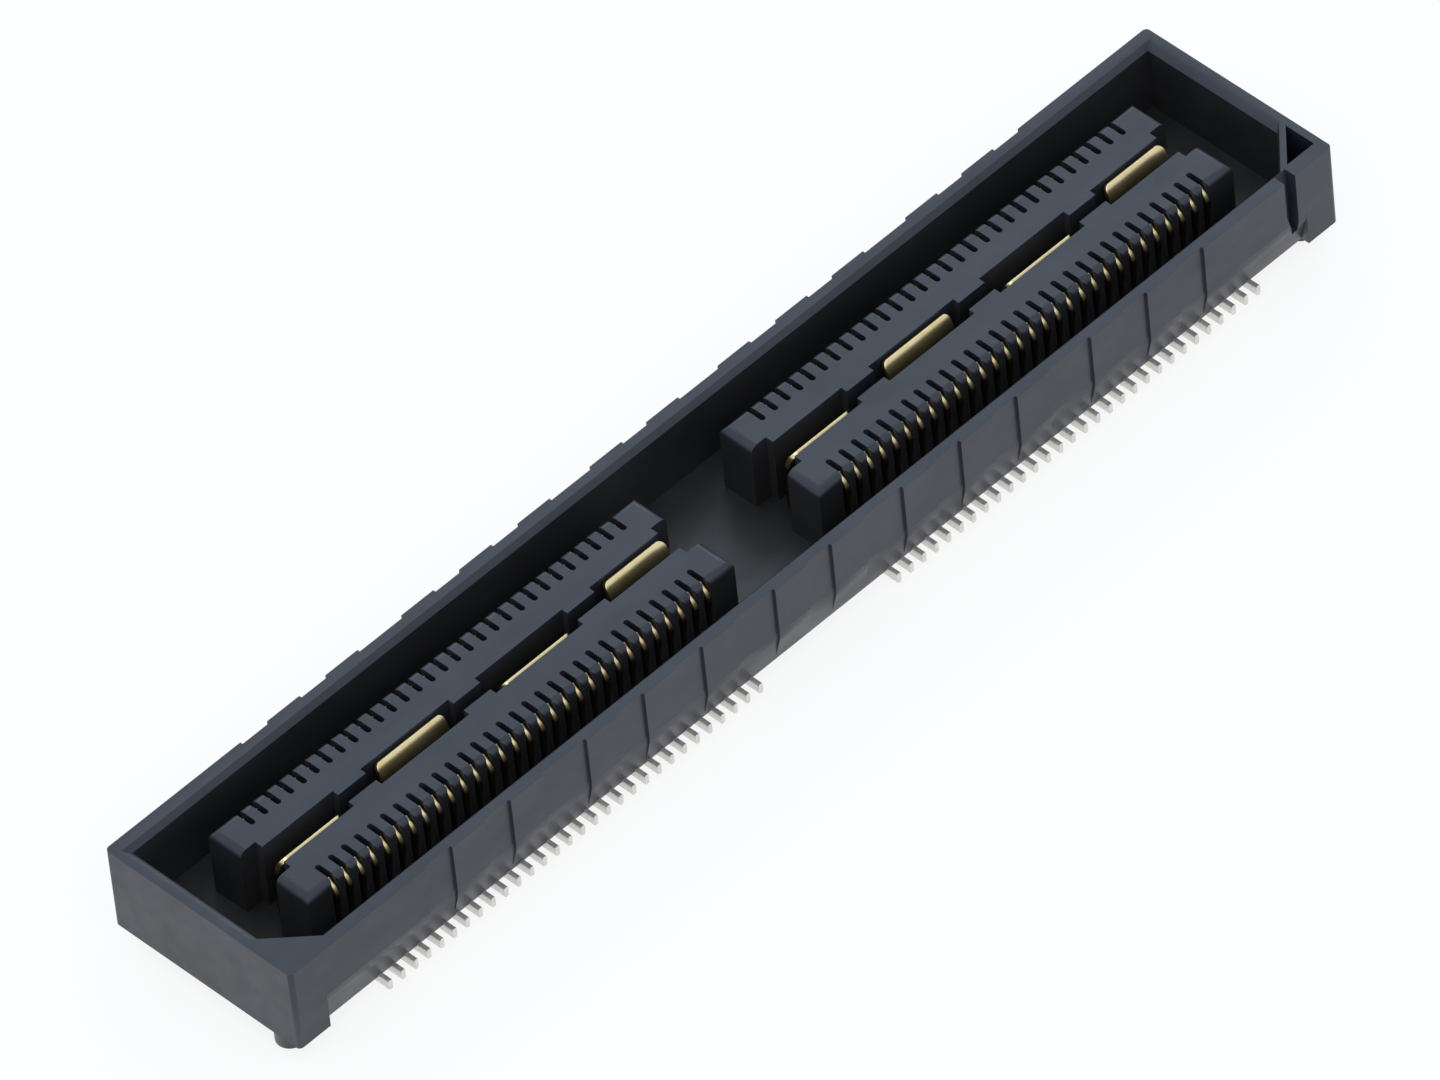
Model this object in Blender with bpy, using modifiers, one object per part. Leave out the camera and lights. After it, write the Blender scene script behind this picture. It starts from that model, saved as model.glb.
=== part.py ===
"""Fine-pitch board-to-board socket strip: two banks of contacts, each around a bent ground plane.

All sizes are in metres. +X runs along the strip, -Y is the side with the bevelled cavity corners,
+Z points from the board to the mating side, and z = 0 is the tip of the locating pins.
"""
import math

import bmesh
import bpy
from mathutils import Matrix, Vector

# Outlines are drawn a thousand times larger and shrunk, because a curve's fill is coarse at this size
DRAWING_SCALE = 1000.0
WELD_DISTANCE = 0.000001

# Contact grid
PITCH = 0.0005
CONTACTS_PER_ROW = 30

# Heights over the board, whose top lies above the pin tips
PIN_DROP = 0.00046
STAND_OFF = 0.00027
FLOOR_HEIGHT = 0.00082
RIM_HEIGHT = 0.00325
RIDGE_HEIGHT = 0.0032
BOARD_Z = PIN_DROP
BODY_BOTTOM_Z = BOARD_Z + STAND_OFF
FLOOR_Z = BOARD_Z + FLOOR_HEIGHT
RIM_Z = BOARD_Z + RIM_HEIGHT
RIDGE_Z = BOARD_Z + RIDGE_HEIGHT
CUT_PAST = 0.00015

# Contact island, one per bank
ISLAND_END_MARGIN = 0.00107
ISLAND_HALF_LENGTH = (CONTACTS_PER_ROW - 1) / 2 * PITCH + ISLAND_END_MARGIN
ISLAND_HALF_WIDTH = 0.00195
ISLAND_CHAMFER = 0.00013
ISLAND_ROOT = 0.0001
BANK_GAP = 0.00336
BANK_PITCH = 2 * ISLAND_HALF_LENGTH + BANK_GAP

# Cavity around the islands, and the lead-in around its mouth
TRENCH_WIDTH = 0.00112
END_ROOM = 0.0018
SIDE_WALL = 0.00055
END_WALL = 0.000515
SIDE_RIM_FLAT = 0.0004
END_RIM_FLAT = 0.000255
LEAD_IN_DEPTH = 0.00018
CAVITY_BEVEL = 0.00111
MOUTH_BEVEL = 0.00143
CAVITY_HALF_LENGTH = BANK_PITCH / 2 + ISLAND_HALF_LENGTH + END_ROOM
CAVITY_HALF_WIDTH = ISLAND_HALF_WIDTH + TRENCH_WIDTH

# Body around the cavity
HALF_LENGTH = CAVITY_HALF_LENGTH + END_WALL
HALF_WIDTH = CAVITY_HALF_WIDTH + SIDE_WALL
MOUTH_HALF_LENGTH = HALF_LENGTH - END_RIM_FLAT
MOUTH_HALF_WIDTH = HALF_WIDTH - SIDE_RIM_FLAT
CORNER_RADIUS = 0.00015
CORNER_STEPS = 4

# Pads that stand proud of the long walls: four by the middle, four along each bank, two at the ends
PAD_RELIEF = 0.00009
PAD_LENGTH = 0.00126
MIDDLE_PAD_CENTRES = (0.00112, 0.00396)
BANK_PAD_OFFSETS = (-0.00374, -0.00148, 0.00148, 0.003745)
END_PAD_FROM_BANK = 0.0054

# Slope along the foot of both long walls, stopping at the four corner blocks
SLOPE_HEIGHT = 0.00103
SLOPE_INSET = 0.00029
CORNER_BLOCK_LENGTH = 0.001195

# Three-sided core-out behind the bevel at +X, and the tapering groove in the wall beside it
BEVEL_RIB = 0.00019
CORE_OUT_SIDE_WALL = 0.00047
CORE_OUT_FLOOR = 0.00068
GROOVE_WIDTH = 0.00044
GROOVE_DEPTH = 0.00023
GROOVE_FROM_END = 0.001735
GROOVE_FOOT = 0.00073
GROOVE_TAPER = 0.0009

# Central gap of an island: a narrow slit, four wide pockets and a notch at each end
SLIT_HALF_WIDTH = 0.000195
POCKET_HALF_WIDTH = 0.00042
NOTCH_HALF_WIDTH = 0.0007
NOTCH_DEPTH = 0.0006
INNER_POCKET_START = 0.00052
INNER_POCKET_END = 0.00393
OUTER_POCKET_START = 0.005

# Contacts, stamped from sheet and standing on edge, measured inwards from the island's flank
CONTACT_THICKNESS = 0.00015
CONTACT_SIDE_GAP = 0.000015
SLOT_DEPTH = 0.00075
SLOT_FLOOR = 0.00018
CREST_PROUD = 0.00008
CREST_DROP = 0.00078
TIP_DROP = 0.00016
TIP_INSET = 0.00029
SPRING_DEPTH = 0.00023
BEAM_INSET = 0.00008
BEAM_DEPTH = 0.00027
BEND_HEIGHT = 0.0013
TAIL_PROUD = 0.00011
TAIL_HEIGHT = 0.00036

# Ground planes
PLANE_THICKNESS = 0.00015
PLANE_SIDE_GAP = 0.00001
PLANE_SEAT_DEPTH = 0.0004
PLANE_END_GAP = 0.00042
SHOULDER_HEIGHT = 0.0013
FINGER_SIDE_ROOM = 0.0004
FINGER_WALL_GAP = 0.000015
FINGER_TIP_DROP = 0.00012
FINGER_CORNER = 0.00018
PLANE_END_CORNER = 0.00042
FINGER_FLARE = 4.5
PLANE_HALF_LENGTH = ISLAND_HALF_LENGTH - PLANE_END_GAP

# Locating pins
PIN_RADIUS = 0.00045
PIN_FROM_END = 0.000555
PIN_FROM_SIDE = 0.001
PIN_CHAMFER = 0.0001
PIN_STEPS = 24

# Turns of a drawn outline: flat in plan, across the strip, and along the strip
IN_PLAN = Matrix.Identity(3)
ACROSS = Matrix(((0, 0, 1), (1, 0, 0), (0, 1, 0)))
ALONG = Matrix(((1, 0, 0), (0, 0, -1), (0, 1, 0)))


def make_collection(name):
    """Adds a collection to the scene."""
    collection = bpy.data.collections.new(name)
    bpy.context.scene.collection.children.link(collection)
    return collection


def make_material(name, colour, metallic, roughness):
    """A plain Principled material."""
    material = bpy.data.materials.new(name)
    material.use_nodes = True
    shader = material.node_tree.nodes["Principled BSDF"]
    shader.inputs["Base Color"].default_value = (*colour, 1.0)
    shader.inputs["Metallic"].default_value = metallic
    shader.inputs["Roughness"].default_value = roughness
    return material


def make_object(name, shape, collection):
    """Turns a finished shape into an object."""
    bmesh.ops.recalc_face_normals(shape, faces=shape.faces)
    mesh = bpy.data.meshes.new(name)
    shape.to_mesh(mesh)
    shape.free()
    thing = bpy.data.objects.new(name, mesh)
    collection.objects.link(thing)
    return thing


def draw_outline(name, outline, low, high, turn, collection):
    """Extrudes a flat closed outline from low to high along the third axis of its turn."""
    curve = bpy.data.curves.new(name, "CURVE")
    curve.dimensions = "2D"
    curve.fill_mode = "BOTH"
    curve.extrude = (high - low) / 2 * DRAWING_SCALE
    spline = curve.splines.new("POLY")
    spline.points.add(len(outline) - 1)
    for point, (a, b) in zip(spline.points, outline):
        point.co = (a * DRAWING_SCALE, b * DRAWING_SCALE, 0.0, 1.0)
    spline.use_cyclic_u = True
    drawn = bpy.data.objects.new(name, curve)
    collection.objects.link(drawn)
    seen = drawn.evaluated_get(bpy.context.evaluated_depsgraph_get())
    mesh = bpy.data.meshes.new_from_object(seen)
    bpy.data.objects.remove(drawn, do_unlink=True)

    shape = bmesh.new()
    shape.from_mesh(mesh)
    shape.transform(Matrix.Scale(1 / DRAWING_SCALE, 4))
    bmesh.ops.remove_doubles(shape, verts=shape.verts, dist=WELD_DISTANCE)
    middle = turn @ Vector((0.0, 0.0, (low + high) / 2))
    shape.transform(Matrix.Translation(middle) @ turn.to_4x4())
    return make_object(name, shape, collection)


def add_array(thing, count, step):
    """Repeats an object along X."""
    array = thing.modifiers.new("repeat", "ARRAY")
    array.count = count
    array.use_relative_offset = False
    array.use_constant_offset = True
    array.constant_offset_displace = (step, 0.0, 0.0)


def add_mirror(thing, axis):
    """Adds the opposite half of an object that stays clear of the middle."""
    mirror = thing.modifiers.new("mirror", "MIRROR")
    mirror.use_axis = [axis == "X", axis == "Y", axis == "Z"]
    mirror.use_mirror_merge = False


def add_boolean(thing, tool, operation):
    """Cuts a part with a tool or joins it to a tool."""
    boolean = thing.modifiers.new(tool.name, "BOOLEAN")
    boolean.operation = operation
    boolean.solver = "EXACT"
    boolean.object = tool
    tool.hide_render = True
    tool.display_type = "WIRE"


def add_block(shape, x_range, y_range, z_range):
    """Adds a box given by its limits."""
    limits = (x_range, y_range, z_range)
    corners = bmesh.ops.create_cube(shape, size=1.0)["verts"]
    bmesh.ops.scale(shape, vec=[high - low for low, high in limits], verts=corners)
    bmesh.ops.translate(shape, vec=[(high + low) / 2 for low, high in limits], verts=corners)


def make_block(name, x_range, y_range, z_range, collection):
    """An object that is one box."""
    shape = bmesh.new()
    add_block(shape, x_range, y_range, z_range)
    return make_object(name, shape, collection)


def make_recess_cutter(tools):
    """Shallow recesses along both long walls, leaving the pads between them standing proud."""
    bank = BANK_PITCH / 2
    centres = list(MIDDLE_PAD_CENTRES) + [bank + offset for offset in BANK_PAD_OFFSETS]
    recess_starts = [-bank - END_PAD_FROM_BANK]
    recess_stops = []
    for centre in sorted([-c for c in centres] + centres):
        recess_stops.append(centre - PAD_LENGTH / 2)
        recess_starts.append(centre + PAD_LENGTH / 2)
    recess_stops.append(bank + END_PAD_FROM_BANK)

    shape = bmesh.new()
    for start, stop in zip(recess_starts, recess_stops):
        # Pads that meet have no recess between them
        if start < stop:
            add_block(
                shape,
                (start, stop),
                (HALF_WIDTH - PAD_RELIEF, HALF_WIDTH + CUT_PAST),
                (BODY_BOTTOM_Z - CUT_PAST, RIM_Z + CUT_PAST),
            )
    cutter = make_object("cut_wall_recesses", shape, tools)
    add_mirror(cutter, "Y")
    return cutter


def make_slope_cutter(tools):
    """A wedge that leans the foot of a long wall inwards, on both sides."""
    slope_top = BODY_BOTTOM_Z + SLOPE_HEIGHT
    past = 0.3
    foot = (HALF_WIDTH - SLOPE_INSET * (1 + past), BODY_BOTTOM_Z - SLOPE_HEIGHT * past)
    top = (HALF_WIDTH + SLOPE_INSET * past, slope_top + SLOPE_HEIGHT * past)
    outside = HALF_WIDTH + 2 * SLOPE_INSET
    outline = [foot, (outside, foot[1]), (outside, top[1]), top]
    reach = HALF_LENGTH - CORNER_BLOCK_LENGTH
    cutter = draw_outline("cut_wall_slopes", outline, -reach, reach, ACROSS, tools)
    add_mirror(cutter, "Y")
    return cutter


def cavity_ring(shape, half_length, half_width, bevel, height):
    """One level of the cavity: two square corners at +Y and two bevelled ones at -Y."""
    outline = [
        (-half_length + bevel, -half_width),
        (half_length - bevel, -half_width),
        (half_length, -half_width + bevel),
        (half_length, half_width),
        (-half_length, half_width),
        (-half_length, -half_width + bevel),
    ]
    return [shape.verts.new((x, y, height)) for x, y in outline]


def make_cavity_cutter(tools):
    """The cavity, widening at its mouth by a lead-in that is steeper along the ends."""
    shape = bmesh.new()
    levels = [
        cavity_ring(shape, CAVITY_HALF_LENGTH, CAVITY_HALF_WIDTH, CAVITY_BEVEL, FLOOR_Z),
        cavity_ring(shape, CAVITY_HALF_LENGTH, CAVITY_HALF_WIDTH, CAVITY_BEVEL, RIM_Z - LEAD_IN_DEPTH),
        cavity_ring(shape, MOUTH_HALF_LENGTH, MOUTH_HALF_WIDTH, MOUTH_BEVEL, RIM_Z),
        cavity_ring(shape, MOUTH_HALF_LENGTH, MOUTH_HALF_WIDTH, MOUTH_BEVEL, RIM_Z + CUT_PAST),
    ]
    shape.faces.new(levels[0])
    shape.faces.new(levels[-1])
    for lower, upper in zip(levels, levels[1:]):
        for i in range(len(lower)):
            shape.faces.new((lower[i - 1], lower[i], upper[i], upper[i - 1]))
    return make_object("cut_cavity", shape, tools)


def first_bank(half_length):
    """Limits along X of something centred on the first bank."""
    return (-BANK_PITCH / 2 - half_length, -BANK_PITCH / 2 + half_length)


def make_islands(tools):
    """Two contact islands with chamfered tops, rooted in the floor."""
    shape = bmesh.new()
    add_block(
        shape,
        first_bank(ISLAND_HALF_LENGTH),
        (-ISLAND_HALF_WIDTH, ISLAND_HALF_WIDTH),
        (FLOOR_Z - ISLAND_ROOT, RIDGE_Z),
    )
    top = [edge for edge in shape.edges if all(vert.co.z > FLOOR_Z for vert in edge.verts)]
    bmesh.ops.bevel(shape, geom=top, offset=ISLAND_CHAMFER, segments=1, affect="EDGES")
    islands = make_object("join_islands", shape, tools)
    add_array(islands, 2, BANK_PITCH)
    return islands


def make_slit_cutter(tools):
    """The narrow slit along the middle of each island."""
    cutter = make_block(
        "cut_island_slits",
        first_bank(ISLAND_HALF_LENGTH + CUT_PAST),
        (-SLIT_HALF_WIDTH, SLIT_HALF_WIDTH),
        (FLOOR_Z, RIDGE_Z + CUT_PAST),
        tools,
    )
    add_array(cutter, 2, BANK_PITCH)
    return cutter


def make_pocket_cutter(name, start, stop, half_width, tools):
    """Widens the slit of each island over a stretch on both sides of its middle."""
    shape = bmesh.new()
    for side in (-1, 1):
        low, high = sorted((side * start, side * stop))
        add_block(
            shape,
            (low - BANK_PITCH / 2, high - BANK_PITCH / 2),
            (-half_width, half_width),
            (FLOOR_Z, RIDGE_Z + CUT_PAST),
        )
    cutter = make_object(name, shape, tools)
    add_array(cutter, 2, BANK_PITCH)
    return cutter


def make_seat_cutter(tools):
    """Narrow grooves in the floor that hold the ground planes upright."""
    half_width = PLANE_THICKNESS / 2 + PLANE_SIDE_GAP
    cutter = make_block(
        "cut_plane_seats",
        first_bank(PLANE_HALF_LENGTH + PLANE_SIDE_GAP),
        (-half_width, half_width),
        (FLOOR_Z - PLANE_SEAT_DEPTH, FLOOR_Z + CUT_PAST),
        tools,
    )
    add_array(cutter, 2, BANK_PITCH)
    return cutter


def first_contact_x():
    """Place of the first contact of the first bank."""
    return -BANK_PITCH / 2 - (CONTACTS_PER_ROW - 1) / 2 * PITCH


def repeat_contacts(thing):
    """Carries one contact or slot along a row, to the other bank and to the other side."""
    add_array(thing, CONTACTS_PER_ROW, PITCH)
    add_array(thing, 2, BANK_PITCH)
    add_mirror(thing, "Y")


def make_slot_cutter(tools):
    """A slot for each contact, open at the island's flank and top."""
    half_width = CONTACT_THICKNESS / 2 + CONTACT_SIDE_GAP
    x = first_contact_x()
    cutter = make_block(
        "cut_contact_slots",
        (x - half_width, x + half_width),
        (ISLAND_HALF_WIDTH - SLOT_DEPTH, ISLAND_HALF_WIDTH + CUT_PAST),
        (FLOOR_Z + SLOT_FLOOR, RIDGE_Z + CUT_PAST),
        tools,
    )
    repeat_contacts(cutter)
    return cutter


def contact_outline():
    """One stamped contact seen along the strip: tail, spring beam, crest and pointed tip."""
    flank = ISLAND_HALF_WIDTH
    bend_z = BOARD_Z + BEND_HEIGHT
    crest_z = RIDGE_Z - CREST_DROP
    tip_z = RIDGE_Z - TIP_DROP
    stations = [
        (bend_z, flank - BEAM_INSET, BEAM_DEPTH),
        ((bend_z + crest_z) / 2, flank, SPRING_DEPTH),
        (crest_z, flank + CREST_PROUD, SPRING_DEPTH),
        ((crest_z + tip_z) / 2, flank, SPRING_DEPTH),
    ]
    tip = [(flank - TIP_INSET, tip_z)]
    tail_end = HALF_WIDTH + TAIL_PROUD
    front = [(y, z) for z, y, depth in stations]
    back = [(y - depth, z) for z, y, depth in reversed(stations)]
    tail_top_z = BOARD_Z + TAIL_HEIGHT
    tail = [(back[-1][0], BOARD_Z), (tail_end, BOARD_Z), (tail_end, tail_top_z), (front[0][0], tail_top_z)]
    return tail + front + tip + back


def make_contacts(tools):
    """All the contacts, each standing in its slot with its tail under the wall."""
    x = first_contact_x()
    half = CONTACT_THICKNESS / 2
    contacts = draw_outline("join_contacts", contact_outline(), x - half, x + half, ACROSS, tools)
    repeat_contacts(contacts)
    return contacts


def make_core_out_cutter(tools):
    """The three-sided core-out, leaving a thin rib behind the bevelled corner."""
    outer_x = MOUTH_HALF_LENGTH
    outer_y = -HALF_WIDTH + CORE_OUT_SIDE_WALL
    bevel_line = MOUTH_HALF_LENGTH + MOUTH_HALF_WIDTH - MOUTH_BEVEL
    rib_line = bevel_line + BEVEL_RIB * math.sqrt(2)
    outline = [(outer_x, outer_x - rib_line), (rib_line + outer_y, outer_y), (outer_x, outer_y)]
    low = BODY_BOTTOM_Z + CORE_OUT_FLOOR
    return draw_outline("cut_corner_core", outline, low, RIM_Z + CUT_PAST, IN_PLAN, tools)


def make_groove_cutter(tools):
    """The groove in the outer wall, narrowing on one side towards its foot."""
    middle = HALF_LENGTH - GROOVE_FROM_END
    left = middle - GROOVE_WIDTH / 2
    right = middle + GROOVE_WIDTH / 2
    foot = BODY_BOTTOM_Z + GROOVE_FOOT
    outline = [
        (left, RIM_Z + CUT_PAST),
        (left, foot + GROOVE_TAPER),
        (middle, foot),
        (right, foot),
        (right, RIM_Z + CUT_PAST),
    ]
    low = HALF_WIDTH - GROOVE_DEPTH
    return draw_outline("cut_wall_groove", outline, low, HALF_WIDTH + CUT_PAST, ALONG, tools)


def make_pins(tools):
    """Two round locating pins under the -Y corners, chamfered at the tip."""
    height = BODY_BOTTOM_Z + CUT_PAST
    shape = bmesh.new()
    bmesh.ops.create_cone(
        shape, cap_ends=True, segments=PIN_STEPS, radius1=PIN_RADIUS, radius2=PIN_RADIUS, depth=height)
    tip = [edge for edge in shape.edges if all(vert.co.z < 0 for vert in edge.verts)]
    bmesh.ops.bevel(shape, geom=tip, offset=PIN_CHAMFER, segments=1, affect="EDGES")
    centre = (HALF_LENGTH - PIN_FROM_END, -HALF_WIDTH + PIN_FROM_SIDE, height / 2)
    bmesh.ops.translate(shape, vec=centre, verts=shape.verts)
    pins = make_object("join_locating_pins", shape, tools)
    add_mirror(pins, "X")
    return pins


def make_housing(parts, tools, material):
    """The moulded body with the contacts that are fused to it."""
    island_end = ISLAND_HALF_LENGTH + CUT_PAST
    shape = bmesh.new()
    add_block(shape, (-HALF_LENGTH, HALF_LENGTH), (-HALF_WIDTH, HALF_WIDTH), (BODY_BOTTOM_Z, RIM_Z))
    upright = [edge for edge in shape.edges if edge.verts[0].co.xy == edge.verts[1].co.xy]
    bmesh.ops.bevel(
        shape, geom=upright, offset=CORNER_RADIUS, segments=CORNER_STEPS, profile=0.5, affect="EDGES")
    housing = make_object("housing_with_contacts", shape, parts)
    add_boolean(housing, make_recess_cutter(tools), "DIFFERENCE")
    add_boolean(housing, make_slope_cutter(tools), "DIFFERENCE")
    add_boolean(housing, make_cavity_cutter(tools), "DIFFERENCE")
    add_boolean(housing, make_islands(tools), "UNION")
    add_boolean(housing, make_slit_cutter(tools), "DIFFERENCE")
    for name, start, stop, half_width in (
        ("cut_inner_pockets", INNER_POCKET_START, INNER_POCKET_END, POCKET_HALF_WIDTH),
        ("cut_outer_pockets", OUTER_POCKET_START, island_end, POCKET_HALF_WIDTH),
        ("cut_end_notches", ISLAND_HALF_LENGTH - NOTCH_DEPTH, island_end, NOTCH_HALF_WIDTH),
    ):
        add_boolean(housing, make_pocket_cutter(name, start, stop, half_width, tools), "DIFFERENCE")
    add_boolean(housing, make_seat_cutter(tools), "DIFFERENCE")
    add_boolean(housing, make_slot_cutter(tools), "DIFFERENCE")
    add_boolean(housing, make_core_out_cutter(tools), "DIFFERENCE")
    add_boolean(housing, make_groove_cutter(tools), "DIFFERENCE")
    add_boolean(housing, make_contacts(tools), "UNION")
    add_boolean(housing, make_pins(tools), "UNION")
    housing.data.materials.append(material)


def extrude_edges(shape, edges, step):
    """Grows a strip from some edges and returns its new leading edges."""
    grown = bmesh.ops.extrude_edge_only(shape, edges=edges)["geom"]
    corners = [item for item in grown if isinstance(item, bmesh.types.BMVert)]
    bmesh.ops.translate(shape, vec=step, verts=corners)
    return [item for item in grown if isinstance(item, bmesh.types.BMEdge) and item.is_boundary
            and all(vert in corners for vert in item.verts)]


def corner_inset(drop, radius):
    """How far a rounded corner draws in at some distance below the tip."""
    over = max(radius - drop, 0.0)
    return radius - math.sqrt(radius ** 2 - over ** 2)


def grow_finger(shape, edge, side, left_corner, right_corner):
    """Bends one finger up from the shoulder so that it flares out ever more towards its rounded tip."""
    reach = POCKET_HALF_WIDTH - FINGER_WALL_GAP - PLANE_THICKNESS / 2
    height = RIDGE_HEIGHT - FINGER_TIP_DROP - SHOULDER_HEIGHT
    left_x, right_x = sorted(vert.co.x for vert in edge.verts)
    reached_z = 0.0
    reached_y = 0.0
    leading = [edge]
    for rise in (0.40, 0.60, 0.74, 0.84, 0.92, 1.00):
        z = height * rise
        y = side * reach * rise ** FINGER_FLARE
        leading = extrude_edges(shape, leading, (0.0, y - reached_y, z - reached_z))
        left, right = sorted(leading[0].verts, key=lambda vert: vert.co.x)
        left.co.x = left_x + corner_inset(height - z, left_corner)
        right.co.x = right_x - corner_inset(height - z, right_corner)
        reached_z = z
        reached_y = y


def make_ground_plane(name, centre, parts, material):
    """A thin upright strip of sheet whose four fingers lean to alternate sides."""
    inner_start = INNER_POCKET_START + FINGER_SIDE_ROOM
    inner_stop = INNER_POCKET_END - FINGER_SIDE_ROOM
    outer_start = OUTER_POCKET_START + FINGER_SIDE_ROOM
    stops = [inner_start, inner_stop, outer_start, PLANE_HALF_LENGTH]
    stops = [-x for x in reversed(stops)] + stops

    shape = bmesh.new()
    bottom_z = FLOOR_Z - PLANE_SEAT_DEPTH
    corners = [shape.verts.new((centre + x, 0.0, bottom_z)) for x in stops]
    foot = [shape.edges.new(pair) for pair in zip(corners, corners[1:])]
    shoulder = extrude_edges(shape, foot, (0.0, 0.0, BOARD_Z + SHOULDER_HEIGHT - bottom_z))
    shoulder.sort(key=lambda edge: min(vert.co.x for vert in edge.verts))
    left_corners = (PLANE_END_CORNER, FINGER_CORNER, FINGER_CORNER, FINGER_CORNER)
    right_corners = reversed(left_corners)
    for edge, side, left, right in zip(shoulder[::2], (-1, 1, -1, 1), left_corners, right_corners):
        grow_finger(shape, edge, side, left, right)
    plane = make_object(name, shape, parts)
    sheet = plane.modifiers.new("sheet", "SOLIDIFY")
    sheet.thickness = PLANE_THICKNESS
    sheet.offset = 0.0
    sheet.use_even_offset = True
    plane.data.materials.append(material)


def main():
    """Clears the file and builds the connector."""
    for thing in list(bpy.data.objects):
        bpy.data.objects.remove(thing, do_unlink=True)
    parts = make_collection("board_to_board_connector")
    tools = make_collection("tools")
    plastic = make_material("black_plastic", (0.030, 0.032, 0.040), 0.0, 0.45)
    gold = make_material("gold_plate", (0.83, 0.62, 0.28), 1.0, 0.25)
    make_housing(parts, tools, plastic)
    make_ground_plane("ground_plane_1", -BANK_PITCH / 2, parts, gold)
    make_ground_plane("ground_plane_2", BANK_PITCH / 2, parts, gold)


main()
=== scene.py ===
"""Looks of the board-to-board connector. Sizes are in millimetres in the part's frame."""

import math

import bmesh
import bpy
from mathutils import Matrix, Vector


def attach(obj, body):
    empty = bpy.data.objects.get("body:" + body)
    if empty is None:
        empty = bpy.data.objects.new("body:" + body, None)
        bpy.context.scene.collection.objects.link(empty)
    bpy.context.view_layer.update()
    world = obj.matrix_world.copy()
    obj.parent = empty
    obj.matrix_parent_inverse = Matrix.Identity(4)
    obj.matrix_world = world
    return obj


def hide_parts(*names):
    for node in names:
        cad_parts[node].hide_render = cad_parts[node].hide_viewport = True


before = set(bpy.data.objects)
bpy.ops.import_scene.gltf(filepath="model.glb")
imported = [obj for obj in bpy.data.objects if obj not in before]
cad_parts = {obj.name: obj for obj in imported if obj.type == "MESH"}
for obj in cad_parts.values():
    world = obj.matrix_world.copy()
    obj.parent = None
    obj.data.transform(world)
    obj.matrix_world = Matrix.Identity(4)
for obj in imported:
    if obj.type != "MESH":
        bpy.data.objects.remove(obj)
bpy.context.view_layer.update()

MM = 0.001

# Contact grid
PITCH = 0.5
CONTACTS_PER_ROW = 30
BANK_PITCH = 20.0
FIRST_X = -BANK_PITCH / 2 - (CONTACTS_PER_ROW - 1) / 2 * PITCH

# Heights in the part's frame
BOARD_Z = 0.46
BOTTOM_Z = BOARD_Z + 0.27
FLOOR_Z = BOARD_Z + 0.82
RIM_Z = BOARD_Z + 3.25
RIDGE_Z = BOARD_Z + 3.20
PAST = 0.15

# Body
HALF_LENGTH = 20.635
HALF_WIDTH = 3.62
PAD_RELIEF = 0.09
RECESS_FADE = 0.02
PAD_LENGTH = 1.26
PAD_CENTRES = (1.12, 3.96, 6.26, 8.52, 11.48, 13.745)
END_PAD_START = 15.40
SLOPE_HEIGHT = 1.28
SLOPE_BEND = 0.40
SLOPE_INSET = 0.29
SLOPE_END = 19.44
CAVITY = (20.12, 3.07, 1.11)
MOUTH = (20.38, 3.22, 1.43)
LEAD_IN_DEPTH = 0.18
CORNER_RADIUS = 0.15
EDGE_ROUNDING = 0.028

# Depths under the ridge tops between which the plastic takes on the painted warm bounce light of the gold
# in the cavity
GOLD_BOUNCE_DEPTHS = (0.35, 0.05)

# Cored corner and the groove beside it
CORE_CORNERS = ((20.38, -2.06), (19.29, -3.15), (20.38, -3.15))
CORE_FLOOR_Z = BOTTOM_Z + 0.68
GROOVE_X = (18.68, 18.90, 19.12)
GROOVE_DEPTH = 0.40
GROOVE_FOOT_Z = BOTTOM_Z + 0.73
GROOVE_BEND_Z = BOTTOM_Z + 1.63

# Islands
ISLAND = (8.32, 1.95)
ISLAND_ROUNDING = 0.26
ISLAND_SUNK = 0.1
GAP_NARROW = 0.195
GAP_WIDE = 0.42
GAP_MOUTH = 0.70
GAP_STEPS = (0.52, 3.93, 5.00, 7.72)
SLOT_HALF_WIDTH = 0.09
SLOT_INNER_END = 1.20
SLOT_MOUTH_RADIUS = 0.13
SLOT_FLOOR_Z = BOARD_Z + 1.00

# Contacts
CONTACT_THICKNESS = 0.15
CONTACT_EDGE = 0.05
# Heights over the board across which the contact gold fades into painted shade
CONTACT_SHADE_FADE = (2.58, 2.86)
TIN_FROM_Y = 2.4
TAIL_TOP = 0.36
TAIL_STATIONS = (3.73, 3.0, TIN_FROM_Y, 2.1)
ELBOW_OUTER = 1.87
ELBOW_INNER = 1.60

# Outer face, height over the board and depth of the contact's beam from the elbow to the tip
BEAM_STATIONS = (
    (1.87, 1.30, 0.27), (1.90, 1.66, 0.25), (1.95, 2.03, 0.23), (2.00, 2.25, 0.23),
    (2.03, 2.42, 0.23), (2.015, 2.56, 0.225), (1.96, 2.70, 0.21), (1.88, 2.82, 0.17),
    (1.79, 2.92, 0.11), (1.72, 2.99, 0.06), (1.67, 3.04, 0.02),
)

# Ground planes
PLANE_HALF_LENGTH = 7.74
PLANE_THICKNESS = 0.15
# Heights over the board across which the blade gold fades into painted shade
PLANE_SHADE_FADE = (2.42, 2.84)
FINGER_ENDS = (0.92, 3.53, 5.40, PLANE_HALF_LENGTH)
FINGER_SIDES = (-1, 1, -1, 1)
FINGER_RISES = (0.3, 0.5, 0.62, 0.70, 0.77, 0.83, 0.88, 0.92, 0.95, 0.975, 0.99, 1.0)
FINGER_HEIGHT = 1.78
FINGER_REACH = 0.33
FINGER_FLARE = 4.5
FINGER_CORNER = 0.18
CORNER_SHARE = 0.95
PLANE_END_CORNER = 0.27
PLANE_SEAT_DEPTH = 0.40
SHOULDER_Z = BOARD_Z + 1.30
SHEET_ROUNDING = 0.055

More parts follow.
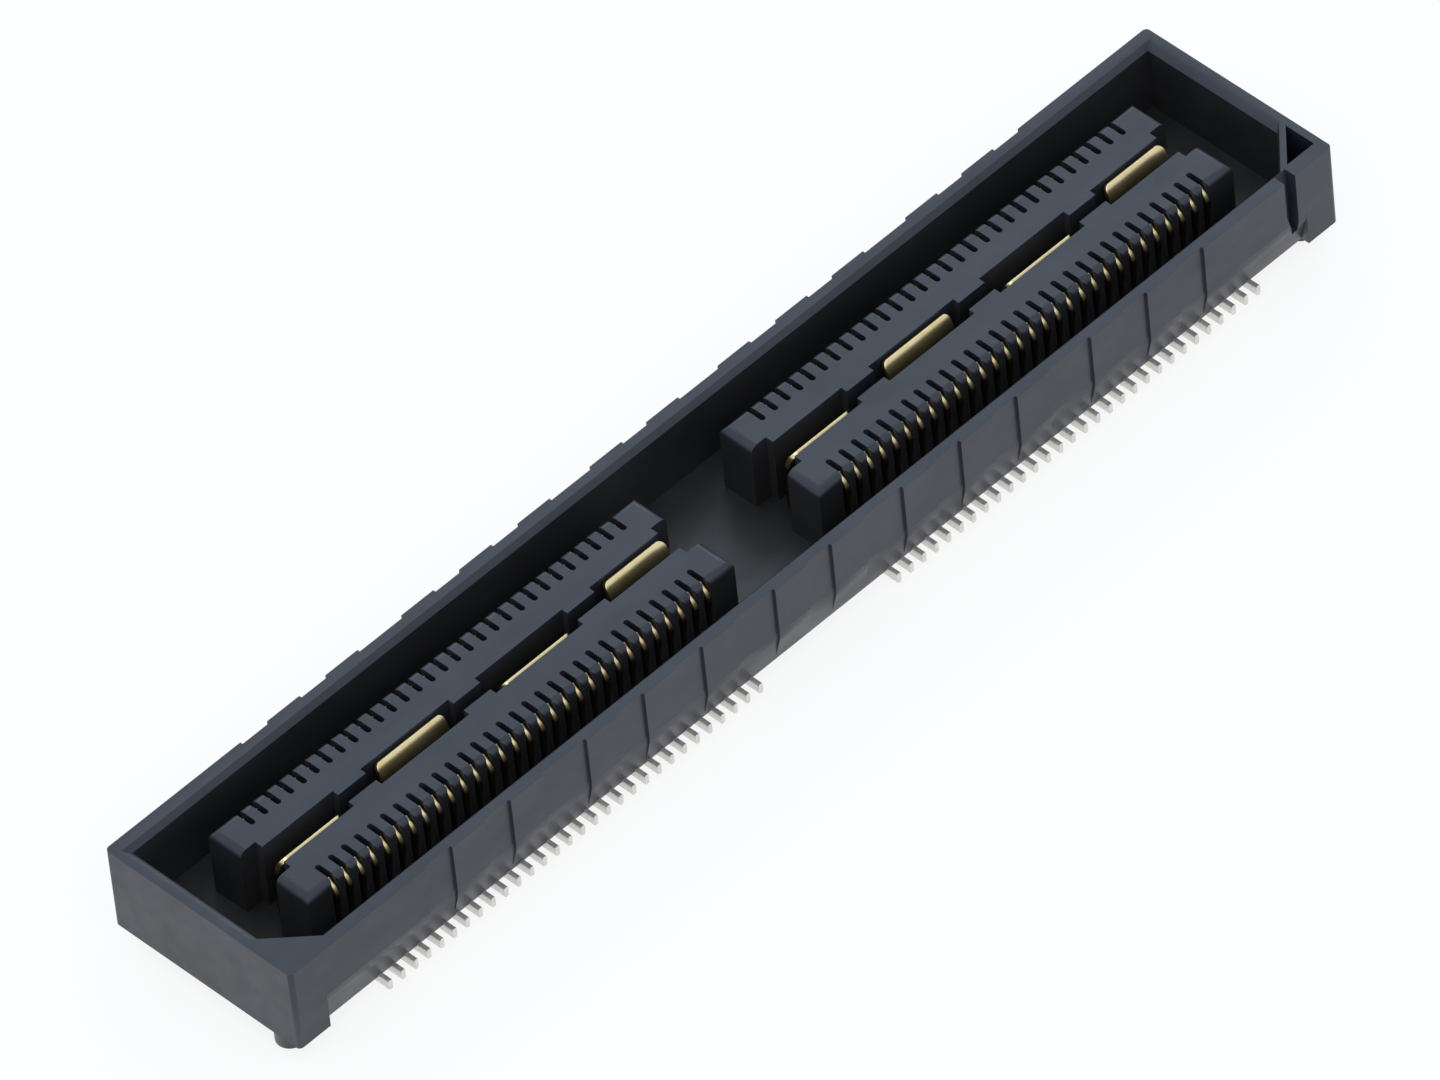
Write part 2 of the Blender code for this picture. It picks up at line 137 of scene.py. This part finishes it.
# Locating pins
PIN_RADIUS = 0.45
PIN_TIP_EDGE = 0.10
PIN_PLACE = (20.08, -2.62)

# Camera: azimuth, elevation and roll in degrees, then how far the aim is to the right and below, and back
CAMERA_ANGLES = (-130.856, 46.475, 6.377)
CAMERA_OFFSET = (0.419, 0.932, 589.5)
FOCAL_PIXELS = 21204.0
PHOTO_WIDTH = 1440.0
SENSOR = 36.0

# Floor
FLOOR_SIZE = 2000.0
FLOOR_SHARE = 0.85

# Turns of an outline: in plan and extruded up, in Y and Z along +X, in X and Z along -Y
IN_PLAN = Matrix.Identity(3)
ACROSS = Matrix(((0, 0, 1), (1, 0, 0), (0, 1, 0)))
ALONG = Matrix(((1, 0, 0), (0, 0, -1), (0, 1, 0)))


# Node helpers

def new_material(name, colour, metallic, roughness):
    """A Principled material whose shader and tree are handed back."""
    material = bpy.data.materials.new(name)
    material.use_nodes = True
    tree = material.node_tree
    shader = tree.nodes["Principled BSDF"]
    shader.inputs["Base Color"].default_value = (*colour, 1.0)
    shader.inputs["Metallic"].default_value = metallic
    shader.inputs["Roughness"].default_value = roughness
    return material, tree, shader


def object_noise(tree, scale, detail, stretch=(1.0, 1.0, 1.0)):
    """Noise in object space; scale is in features per millimetre."""
    coordinates = tree.nodes.new("ShaderNodeTexCoord")
    mapping = tree.nodes.new("ShaderNodeMapping")
    mapping.inputs["Scale"].default_value = [scale / MM * s for s in stretch]
    noise = tree.nodes.new("ShaderNodeTexNoise")
    noise.inputs["Scale"].default_value = 1.0
    noise.inputs["Detail"].default_value = detail
    tree.links.new(coordinates.outputs["Object"], mapping.inputs["Vector"])
    tree.links.new(mapping.outputs["Vector"], noise.inputs["Vector"])
    return noise.outputs["Fac"]


def object_place(tree):
    """X, Y and Z of a surface point, in metres."""
    coordinates = tree.nodes.new("ShaderNodeTexCoord")
    split = tree.nodes.new("ShaderNodeSeparateXYZ")
    tree.links.new(coordinates.outputs["Object"], split.inputs["Vector"])
    return split.outputs


def calculate(tree, operation, first, second=None):
    """A Math node on one or two values."""
    node = tree.nodes.new("ShaderNodeMath")
    node.operation = operation
    tree.links.new(first, node.inputs[0])
    if second is not None:
        tree.links.new(second, node.inputs[1])
    return node.outputs["Value"]


def cavity_gold_bounce_mask(tree):
    """1 on the walls and floor of the cavity and on the flanks of the islands, 0 elsewhere: where the
    warm light bounced off the gold is painted.
    """
    full_bounce_z, no_bounce_z = [(RIDGE_Z - drop) * MM for drop in GOLD_BOUNCE_DEPTHS]
    x, y, z = object_place(tree)
    along = map_range(tree, calculate(tree, "ABSOLUTE", x), CAVITY[0] * MM, MOUTH[0] * MM, 1.0, 0.0)
    across = map_range(tree, calculate(tree, "ABSOLUTE", y), CAVITY[1] * MM, MOUTH[1] * MM, 1.0, 0.0)
    below = map_range(tree, z, full_bounce_z, no_bounce_z, 1.0, 0.0)
    return calculate(tree, "MULTIPLY", calculate(tree, "MULTIPLY", along, across), below)


def ramp(tree, source, low, high, start, end):
    """Colour ramp between two colours."""
    node = tree.nodes.new("ShaderNodeValToRGB")
    node.color_ramp.elements[0].position = low
    node.color_ramp.elements[1].position = high
    node.color_ramp.elements[0].color = (*start, 1.0)
    node.color_ramp.elements[1].color = (*end, 1.0)
    tree.links.new(source, node.inputs["Fac"])
    return node.outputs["Color"]


def map_range(tree, source, low, high, start, end):
    """Maps a value into a range and keeps it there."""
    node = tree.nodes.new("ShaderNodeMapRange")
    node.inputs["From Min"].default_value = low
    node.inputs["From Max"].default_value = high
    node.inputs["To Min"].default_value = start
    node.inputs["To Max"].default_value = end
    tree.links.new(source, node.inputs["Value"])
    return node.outputs["Result"]


def mix_colours(tree, factor, first, second):
    """Blends two colours by a factor."""
    node = tree.nodes.new("ShaderNodeMix")
    node.data_type = "RGBA"
    tree.links.new(factor, node.inputs["Factor"])
    for source, socket in ((first, node.inputs[6]), (second, node.inputs[7])):
        if isinstance(source, tuple):
            socket.default_value = (*source, 1.0)
        else:
            tree.links.new(source, socket)
    return node.outputs[2]


def add_bump(tree, shader, source, height_mm, strength):
    """Bumps the surface by a height in millimetres."""
    bump = tree.nodes.new("ShaderNodeBump")
    bump.inputs["Distance"].default_value = height_mm * MM
    bump.inputs["Strength"].default_value = strength
    tree.links.new(source, bump.inputs["Height"])
    tree.links.new(bump.outputs["Normal"], shader.inputs["Normal"])


def make_plastic():
    """Blue-black moulded plastic with a fine matt grain, and painted warm bounce light of the gold inside
    the cavity.
    """
    material, tree, shader = new_material("moulded_plastic", (0.014, 0.018, 0.028), 0.0, 0.38)
    mottle = object_noise(tree, 0.9, 5.0, (0.35, 1.0, 1.0))
    outside = ramp(tree, mottle, 0.35, 0.70, (0.012, 0.0145, 0.024), (0.018, 0.0215, 0.035))
    # Painted bounce light: a warmer, more neutral tone stands in for the gold's light thrown onto the
    # cavity walls, floor and island flanks
    gold_bounce_tone = ramp(tree, mottle, 0.35, 0.70, (0.014, 0.0138, 0.0145), (0.021, 0.0205, 0.022))
    colour = mix_colours(tree, cavity_gold_bounce_mask(tree), outside, gold_bounce_tone)
    tree.links.new(colour, shader.inputs["Base Color"])
    patches = object_noise(tree, 1.6, 4.0, (0.5, 1.0, 1.0))
    tree.links.new(map_range(tree, patches, 0.3, 0.7, 0.33, 0.43), shader.inputs["Roughness"])
    grain = object_noise(tree, 14.0, 3.0)
    add_bump(tree, shader, grain, 0.010, 0.30)
    shader.inputs["IOR"].default_value = 1.50
    return material


def make_gold(name, shade_fade_low, shade_fade_high):
    """Gold that fades between two heights over the board into a near-black brown: painted shade of the
    dark cavity that the lower beams and blades reflect.
    """
    material, tree, shader = new_material(name, (0.86, 0.66, 0.34), 1.0, 0.28)
    streaks = object_noise(tree, 3.0, 3.0, (1.0, 1.0, 0.2))
    gold = ramp(tree, streaks, 0.30, 0.75, (0.84, 0.64, 0.32), (0.93, 0.76, 0.46))
    height = object_place(tree)["Z"]
    heights = [(BOARD_Z + z) * MM for z in (shade_fade_low, shade_fade_high)]
    gold_over_shade = map_range(tree, height, *heights, 0.0, 1.0)
    # Painted shade: near-black brown under the fade, for the dark cavity walls that the lower metal
    # reflects
    colour = mix_colours(tree, gold_over_shade, (0.050, 0.030, 0.018), gold)
    tree.links.new(colour, shader.inputs["Base Color"])
    tree.links.new(map_range(tree, gold_over_shade, 0.0, 1.0, 0.50, 0.30), shader.inputs["Roughness"])
    add_bump(tree, shader, object_noise(tree, 5.0, 2.0, (1.0, 1.0, 0.3)), 0.0010, 0.25)
    return material


def make_tin():
    """Matt tin on the solder tails."""
    material, tree, shader = new_material("tail_tin", (0.66, 0.63, 0.59), 0.85, 0.45)
    cloud = object_noise(tree, 8.0, 4.0)
    colour = ramp(tree, cloud, 0.30, 0.75, (0.66, 0.63, 0.59), (0.82, 0.79, 0.745))
    tree.links.new(colour, shader.inputs["Base Color"])
    tree.links.new(map_range(tree, cloud, 0.3, 0.7, 0.38, 0.50), shader.inputs["Roughness"])
    add_bump(tree, shader, cloud, 0.006, 0.4)
    return material


# Shape helpers

def make_object(name, shape):
    """Turns a shape in millimetres into an object in metres."""
    bmesh.ops.recalc_face_normals(shape, faces=shape.faces)
    bmesh.ops.scale(shape, vec=(MM, MM, MM), verts=shape.verts)
    mesh = bpy.data.meshes.new(name)
    shape.to_mesh(mesh)
    shape.free()
    thing = bpy.data.objects.new(name, mesh)
    bpy.context.scene.collection.objects.link(thing)
    return thing


def outline_shape(outline, low, high, turn, shape=None):
    """Extrudes a closed outline from low to high."""
    shape = shape or bmesh.new()
    corners = [shape.verts.new(turn @ Vector((a, b, low))) for a, b in outline]
    face = shape.faces.new(corners)
    grown = bmesh.ops.extrude_face_region(shape, geom=[face])["geom"]
    moved = [item for item in grown if isinstance(item, bmesh.types.BMVert)]
    bmesh.ops.translate(shape, vec=turn @ Vector((0, 0, high - low)), verts=moved)
    return shape


def skin_rings(shape, rings):
    """Closes a row of rings of corners into a solid."""
    shape.faces.new(rings[0])
    shape.faces.new(rings[-1])
    for lower, upper in zip(rings, rings[1:]):
        for i in range(len(lower)):
            shape.faces.new((lower[i - 1], lower[i], upper[i], upper[i - 1]))


def block_shape(x_range, y_range, z_range):
    """A box given by its limits."""
    shape = bmesh.new()
    limits = (x_range, y_range, z_range)
    corners = bmesh.ops.create_cube(shape, size=1.0)["verts"]
    bmesh.ops.scale(shape, vec=[high - low for low, high in limits], verts=corners)
    bmesh.ops.translate(shape, vec=[(high + low) / 2 for low, high in limits], verts=corners)
    return shape


def add_array(thing, count, step):
    """Repeats an object along X."""
    array = thing.modifiers.new("repeat", "ARRAY")
    array.count = count
    array.use_relative_offset = False
    array.use_constant_offset = True
    array.constant_offset_displace = (step * MM, 0.0, 0.0)


def add_mirror(thing, axis):
    """Adds the opposite half."""
    mirror = thing.modifiers.new("mirror", "MIRROR")
    mirror.use_axis = [axis == "X", axis == "Y", axis == "Z"]
    mirror.use_mirror_merge = False


def add_bevel(thing, width, segments, angle):
    """Rounds the sharp edges."""
    bevel = thing.modifiers.new("edges", "BEVEL")
    bevel.width = width * MM
    bevel.segments = segments
    bevel.limit_method = "ANGLE"
    bevel.angle_limit = math.radians(angle)


def settle(thing):
    """Applies the modifiers."""
    seen = thing.evaluated_get(bpy.context.evaluated_depsgraph_get())
    mesh = bpy.data.meshes.new_from_object(seen)
    thing.modifiers.clear()
    thing.data = mesh


def shade_smooth(thing, angle):
    """Smooth shading that keeps the large faces flat and stays crisp past an angle."""
    thing.data.shade_smooth()
    thing.data.set_sharp_from_angle(angle=math.radians(angle))
    normals = thing.modifiers.new("normals", "WEIGHTED_NORMAL")
    normals.keep_sharp = True
    settle(thing)


def carve(target, shape, name, operation, arrays=(), mirror=None):
    """Cuts or joins a shape into the target."""
    tool = make_object(name, shape)
    for count, step in arrays:
        add_array(tool, count, step)
    if mirror:
        add_mirror(tool, mirror)
    boolean = target.modifiers.new(name, "BOOLEAN")
    boolean.operation = operation
    boolean.solver = "EXACT"
    boolean.object = tool
    settle(target)
    bpy.data.objects.remove(tool, do_unlink=True)


# Housing

def cavity_shape():
    """The cavity with its lead-in."""
    shape = bmesh.new()
    rings = []
    for (length, width, bevel), z in (
        (CAVITY, FLOOR_Z), (CAVITY, RIM_Z - LEAD_IN_DEPTH), (MOUTH, RIM_Z), (MOUTH, RIM_Z + PAST)
    ):
        outline = [
            (-length + bevel, -width), (length - bevel, -width), (length, -width + bevel),
            (length, width), (-length, width), (-length, -width + bevel),
        ]
        rings.append([shape.verts.new((x, y, z)) for x, y in outline])
    skin_rings(shape, rings)
    return shape


def foot_cutter(face, inset, top, stretches):
    """What lies outside a wall face that bends softly into a slope, over some stretches along X."""
    bend_inset = inset * SLOPE_BEND / (2 * SLOPE_HEIGHT - SLOPE_BEND)
    lean = (inset - bend_inset) / (SLOPE_HEIGHT - SLOPE_BEND)
    curve = [(face - inset - lean * PAST, BOTTOM_Z - PAST)]
    for step in range(8):
        left = 1 - step / 8
        curve.append((face - bend_inset * left ** 2, BOTTOM_Z + SLOPE_HEIGHT - SLOPE_BEND * left))
    outside = HALF_WIDTH + 2 * SLOPE_INSET
    outline = [(outside, curve[0][1]), (outside, top[1]), top] + curve[::-1]
    shape = bmesh.new()
    for start, stop in stretches:
        outline_shape(outline, start, stop, ACROSS, shape)
    return shape


def recess_shape():
    """Shallow recesses between the pads of one long wall, which fade out towards the foot."""
    centres = sorted([-c for c in PAD_CENTRES] + list(PAD_CENTRES))
    starts = [-END_PAD_START] + [c + PAD_LENGTH / 2 for c in centres]
    stops = [c - PAD_LENGTH / 2 for c in centres] + [END_PAD_START]
    face = HALF_WIDTH - PAD_RELIEF
    inset = SLOPE_INSET - PAD_RELIEF - RECESS_FADE
    return foot_cutter(face, inset, (face, RIM_Z + PAST), zip(starts, stops))


def gap_shape():
    """The stepped gap along the first island."""
    widths = (GAP_NARROW, GAP_WIDE, GAP_NARROW, GAP_WIDE, GAP_MOUTH)
    quarter = []
    for x, before, after in zip(GAP_STEPS, widths, widths[1:]):
        quarter += [(x, before), (x, after)]
    quarter.append((ISLAND[0] + PAST, GAP_MOUTH))
    near = [(-x, -y) for x, y in reversed(quarter)] + [(x, -y) for x, y in quarter]
    far = [(-x, -y) for x, y in near]
    outline = [(x - BANK_PITCH / 2, y) for x, y in near + far]
    return outline_shape(outline, FLOOR_Z, RIDGE_Z + PAST, IN_PLAN)


def island_shape():
    """The first island with its rounded top."""
    centre = -BANK_PITCH / 2
    length, width = ISLAND
    shape = block_shape(
        (centre - length, centre + length), (-width, width), (FLOOR_Z - ISLAND_SUNK, RIDGE_Z))
    top = [edge for edge in shape.edges if all(vert.co.z > RIDGE_Z - 0.01 for vert in edge.verts)]
    bmesh.ops.bevel(shape, geom=top, offset=ISLAND_ROUNDING, segments=4, profile=0.5, affect="EDGES")
    return shape


def slope_shape():
    """Leans the foot of the wall inwards in a soft curve that runs out into the wall."""
    top = (HALF_WIDTH + 0.02, BOTTOM_Z + SLOPE_HEIGHT)
    return foot_cutter(HALF_WIDTH, SLOPE_INSET, top, [(-SLOPE_END, SLOPE_END)])


def slot_shape():
    """The first slot, with a round inner end and rounded mouth."""
    inner = [
        (-SLOT_HALF_WIDTH * math.cos(a), SLOT_INNER_END + SLOT_HALF_WIDTH * (1 - math.sin(a)))
        for a in [math.pi * i / 8 for i in range(9)]
    ]
    mouth = [
        (SLOT_HALF_WIDTH + SLOT_MOUTH_RADIUS * (1 - math.cos(a)),
         ISLAND[1] - SLOT_MOUTH_RADIUS * (1 - math.sin(a)))
        for a in [math.pi / 2 * i / 4 for i in range(5)]
    ]
    right = mouth + [(mouth[-1][0], ISLAND[1] + PAST)]
    left = [(-x, y) for x, y in reversed(right)]
    outline = [(FIRST_X + x, y) for x, y in inner + right + left]
    return outline_shape(outline, SLOT_FLOOR_Z, RIDGE_Z + PAST, IN_PLAN)


def groove_shape():
    """The groove that cuts through the near wall beside the cored corner."""
    left, bend, right = GROOVE_X
    top = RIM_Z + PAST
    outline = [
        (left, top), (left, GROOVE_BEND_Z), (bend, GROOVE_FOOT_Z), (right, GROOVE_FOOT_Z), (right, top)]
    return outline_shape(outline, HALF_WIDTH - GROOVE_DEPTH, HALF_WIDTH + PAST, ALONG)


def pin_shape():
    """The right locating pin, with its tip at height 0."""
    shape = bmesh.new()
    height = BOTTOM_Z + PAST
    bmesh.ops.create_cone(
        shape, cap_ends=True, segments=48, radius1=PIN_RADIUS, radius2=PIN_RADIUS, depth=height)
    tip = [edge for edge in shape.edges if all(vert.co.z < 0 for vert in edge.verts)]
    bmesh.ops.bevel(shape, geom=tip, offset=PIN_TIP_EDGE, segments=2, affect="EDGES")
    bmesh.ops.translate(shape, vec=(*PIN_PLACE, height / 2), verts=shape.verts)
    return shape


def make_housing(plastic):
    """The moulding, with every edge slightly rounded."""
    shape = block_shape((-HALF_LENGTH, HALF_LENGTH), (-HALF_WIDTH, HALF_WIDTH), (BOTTOM_Z, RIM_Z))
    upright = [edge for edge in shape.edges if abs(edge.verts[0].co.z - edge.verts[1].co.z) > 1]
    bmesh.ops.bevel(shape, geom=upright, offset=CORNER_RADIUS, segments=6, profile=0.5, affect="EDGES")
    housing = make_object("housing_moulding", shape)
    two_banks = [(2, BANK_PITCH)]
    carve(housing, recess_shape(), "recess", "DIFFERENCE", mirror="Y")
    carve(housing, slope_shape(), "slope", "DIFFERENCE", mirror="Y")
    carve(housing, cavity_shape(), "cavity", "DIFFERENCE")
    carve(housing, island_shape(), "islands", "UNION", two_banks)
    carve(housing, gap_shape(), "gaps", "DIFFERENCE", two_banks)
    carve(housing, slot_shape(), "slots", "DIFFERENCE", [(CONTACTS_PER_ROW, PITCH)] + two_banks, "Y")
    core = outline_shape(CORE_CORNERS, CORE_FLOOR_Z, RIM_Z + PAST, IN_PLAN)
    carve(housing, core, "core", "DIFFERENCE")
    carve(housing, groove_shape(), "groove", "DIFFERENCE")
    carve(housing, pin_shape(), "pins", "UNION", mirror="X")
    add_bevel(housing, EDGE_ROUNDING, 2, 35.0)
    settle(housing)
    shade_smooth(housing, 40.0)
    housing.data.materials.clear()
    housing.data.materials.append(plastic)
    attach(housing, "root")
    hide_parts("housing_with_contacts")


# Contacts

def contact_stations():
    """Outer and inner edge of a contact from the tail's end to the tip, as (y, z over the board)."""
    tail = [((y, TAIL_TOP), (y, 0.0)) for y in TAIL_STATIONS]
    elbow = [((ELBOW_OUTER, TAIL_TOP), (ELBOW_INNER, 0.0))]
    beam = [((front, z), (front - depth, z)) for front, z, depth in BEAM_STATIONS]
    return tail + elbow + beam


def contact_ring(shape, outer, inner, side):
    """A rounded section between two edges of the strip."""
    outer = Vector((side * outer[0], BOARD_Z + outer[1]))
    inner = Vector((side * inner[0], BOARD_Z + inner[1]))
    span = (outer - inner).length
    reach = (outer - inner).normalized()
    half = CONTACT_THICKNESS / 2 * min(1.0, 0.35 + span / 0.22)
    radius = min(CONTACT_EDGE, span * 0.45, half * 0.9)
    middle = (outer + inner) / 2
    ring = []
    for turn_x, turn_s in ((1, 1), (-1, 1), (-1, -1), (1, -1)):
        angles = [math.pi / 2 * i / 3 for i in range(4)]
        if turn_x * turn_s < 0:
            angles.reverse()
        for angle in angles:
            x = turn_x * (half - radius + radius * math.cos(angle))
            along = turn_s * (span / 2 - radius + radius * math.sin(angle))
            place = middle + reach * along
            ring.append(shape.verts.new((FIRST_X + x, place.x, place.y)))
    return ring


def contact_shape(side):
    """One stamped contact, split where the tin of the tail begins."""
    shape = bmesh.new()
    skin_rings(shape, [contact_ring(shape, outer, inner, side) for outer, inner in contact_stations()])
    for face in shape.faces:
        face.material_index = int(abs(face.calc_center_median().y) > TIN_FROM_Y)
    return shape


def make_contacts(gold, tin):
    """Four rows of contacts."""
    for bank in (0, 1):
        for side, label in ((-1, "near"), (1, "far")):
            shape = contact_shape(side)
            bmesh.ops.translate(shape, vec=(BANK_PITCH * bank, 0, 0), verts=shape.verts)
            row = make_object("contacts_bank_%d_%s" % (bank + 1, label), shape)
            row.data.materials.append(gold)
            row.data.materials.append(tin)
            add_array(row, CONTACTS_PER_ROW, PITCH)
            settle(row)
            shade_smooth(row, 50.0)
            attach(row, "root")


# Ground planes

def extrude_edges(shape, edges, step):
    """Grows a strip from some edges and returns its new leading edges."""
    grown = bmesh.ops.extrude_edge_only(shape, edges=edges)["geom"]
    corners = [item for item in grown if isinstance(item, bmesh.types.BMVert)]
    bmesh.ops.translate(shape, vec=step, verts=corners)
    return [item for item in grown if isinstance(item, bmesh.types.BMEdge) and item.is_boundary
            and all(vert in corners for vert in item.verts)]


def corner_inset(drop, radius):
    """How far a rounded corner draws in at some distance below the tip."""
    over = max(radius - drop, 0.0)
    return radius - math.sqrt(radius ** 2 - over ** 2)


def grow_finger(shape, edge, side, left_corner, right_corner):
    """One finger that flares out towards its rounded tip."""
    left_x, right_x = sorted(vert.co.x for vert in edge.verts)
    reached_y = 0.0
    reached_z = 0.0
    leading = [edge]
    for rise in FINGER_RISES:
        y = side * FINGER_REACH * rise ** FINGER_FLARE
        z = FINGER_HEIGHT * rise
        leading = extrude_edges(shape, leading, (0.0, y - reached_y, z - reached_z))
        left, right = sorted(leading[0].verts, key=lambda vert: vert.co.x)
        left.co.x = left_x + corner_inset(FINGER_HEIGHT - z, left_corner) * CORNER_SHARE
        right.co.x = right_x - corner_inset(FINGER_HEIGHT - z, right_corner) * CORNER_SHARE
        reached_y = y
        reached_z = z


def make_ground_plane(number, gold):
    """A bent strip of sheet with rounded edges."""
    centre = BANK_PITCH * (number - 1.5)
    stops = [-x for x in reversed(FINGER_ENDS)] + list(FINGER_ENDS)
    shape = bmesh.new()
    corners = [shape.verts.new((centre + x, 0.0, FLOOR_Z - PLANE_SEAT_DEPTH)) for x in stops]
    foot = [shape.edges.new(pair) for pair in zip(corners, corners[1:])]
    shoulder = extrude_edges(shape, foot, (0.0, 0.0, SHOULDER_Z - FLOOR_Z + PLANE_SEAT_DEPTH))
    shoulder.sort(key=lambda edge: min(vert.co.x for vert in edge.verts))
    left_corners = (PLANE_END_CORNER, FINGER_CORNER, FINGER_CORNER, FINGER_CORNER)
    right_corners = reversed(left_corners)
    for edge, side, left, right in zip(shoulder[::2], FINGER_SIDES, left_corners, right_corners):
        grow_finger(shape, edge, side, left, right)
    plane = make_object("ground_blade_%d" % number, shape)
    sheet = plane.modifiers.new("sheet", "SOLIDIFY")
    sheet.thickness = PLANE_THICKNESS * MM
    sheet.offset = 0.0
    sheet.use_even_offset = True
    add_bevel(plane, SHEET_ROUNDING, 4, 50.0)
    settle(plane)
    shade_smooth(plane, 60.0)
    plane.data.materials.append(gold)
    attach(plane, "root")
    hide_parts("ground_plane_%d" % number)


# Studio

def make_camera():
    """The photograph's viewpoint."""
    azimuth, elevation, roll = [math.radians(a) for a in CAMERA_ANGLES]
    level = math.cos(elevation)
    forward = -Vector((level * math.cos(azimuth), level * math.sin(azimuth), math.sin(elevation)))
    right = forward.cross(Vector((0, 0, 1))).normalized()
    down = forward.cross(right)
    across = math.cos(roll) * right + math.sin(roll) * down
    below = -math.sin(roll) * right + math.cos(roll) * down
    turn = Matrix((across, -below, -forward)).transposed()
    right_by, down_by, back_by = CAMERA_OFFSET
    place = Vector((0, 0, BOARD_Z)) - across * right_by - below * down_by - forward * back_by
    camera = bpy.data.objects.new("camera", bpy.data.cameras.new("camera"))
    camera.matrix_world = Matrix.Translation(place * MM) @ turn.to_4x4()
    camera.data.lens = FOCAL_PIXELS / PHOTO_WIDTH * SENSOR
    camera.data.sensor_width = SENSOR
    camera.data.sensor_fit = "HORIZONTAL"
    camera.data.clip_start = 0.01
    camera.data.clip_end = 20.0
    bpy.context.scene.collection.objects.link(camera)
    bpy.context.scene.camera = camera


def add_area_light(name, place, size, power, colour):
    """A soft box that looks at the middle of the connector's foot."""
    light = bpy.data.lights.new(name, "AREA")
    light.shape = "SQUARE"
    light.size = size * MM
    light.energy = power
    light.color = colour
    lamp = bpy.data.objects.new(name, light)
    lamp.location = Vector(place) * MM
    lamp.rotation_euler = (-Vector(place)).to_track_quat("-Z", "Y").to_euler()
    bpy.context.scene.collection.objects.link(lamp)


def background_share(tree, share):
    """How much of a surface the camera and the reflections see as plain white background."""
    path = tree.nodes.new("ShaderNodeLightPath")
    seen = calculate(tree, "MAXIMUM", path.outputs["Is Camera Ray"], path.outputs["Is Glossy Ray"])
    return map_range(tree, seen, 0.0, 1.0, 0.0, share)


def make_world():
    """A pale sky, bluer overhead, that the camera sees as white."""
    world = bpy.data.worlds.new("studio")
    bpy.context.scene.world = world
    world.use_nodes = True
    tree = world.node_tree
    background = tree.nodes["Background"]
    coordinates = tree.nodes.new("ShaderNodeTexCoord")
    split = tree.nodes.new("ShaderNodeSeparateXYZ")
    tree.links.new(coordinates.outputs["Generated"], split.inputs["Vector"])
    sky = ramp(tree, split.outputs["Z"], 0.0, 0.55, (0.93, 0.95, 0.96), (0.82, 0.92, 1.0))
    tree.links.new(sky, background.inputs["Color"])
    background.inputs["Strength"].default_value = 0.95
    white = tree.nodes.new("ShaderNodeBackground")
    white.inputs["Color"].default_value = (1.0, 1.0, 1.0, 1.0)
    white.inputs["Strength"].default_value = 1.0
    path = tree.nodes.new("ShaderNodeLightPath")
    mix = tree.nodes.new("ShaderNodeMixShader")
    tree.links.new(path.outputs["Is Camera Ray"], mix.inputs["Fac"])
    tree.links.new(background.outputs["Background"], mix.inputs[1])
    tree.links.new(white.outputs["Background"], mix.inputs[2])
    tree.links.new(mix.outputs["Shader"], tree.nodes["World Output"].inputs["Surface"])


def make_floor():
    """White paper that keeps a faint shadow of the connector."""
    shape = bmesh.new()
    bmesh.ops.create_grid(shape, x_segments=1, y_segments=1, size=FLOOR_SIZE)
    floor = make_object("floor", shape)
    paper, tree, shader = new_material("floor_paper", (0.93, 0.93, 0.93), 0.0, 0.9)
    glow = tree.nodes.new("ShaderNodeEmission")
    glow.inputs["Strength"].default_value = 1.0
    mix = tree.nodes.new("ShaderNodeMixShader")
    tree.links.new(background_share(tree, FLOOR_SHARE), mix.inputs["Fac"])
    tree.links.new(shader.outputs["BSDF"], mix.inputs[1])
    tree.links.new(glow.outputs["Emission"], mix.inputs[2])
    tree.links.new(mix.outputs["Shader"], tree.nodes["Material Output"].inputs["Surface"])
    floor.data.materials.append(paper)


make_housing(make_plastic())
make_contacts(make_gold("contact_gold", *CONTACT_SHADE_FADE), make_tin())
blade_gold = make_gold("blade_gold", *PLANE_SHADE_FADE)
for number in (1, 2):
    make_ground_plane(number, blade_gold)
make_camera()
make_world()
make_floor()
add_area_light("key", place=(-120, -160, 260), size=220, power=0.26, colour=(1.0, 1.0, 1.0))
add_area_light("back", place=(170, 195, 165), size=180, power=0.12, colour=(0.70, 0.85, 1.0))
bpy.context.scene.view_settings.view_transform = "Standard"
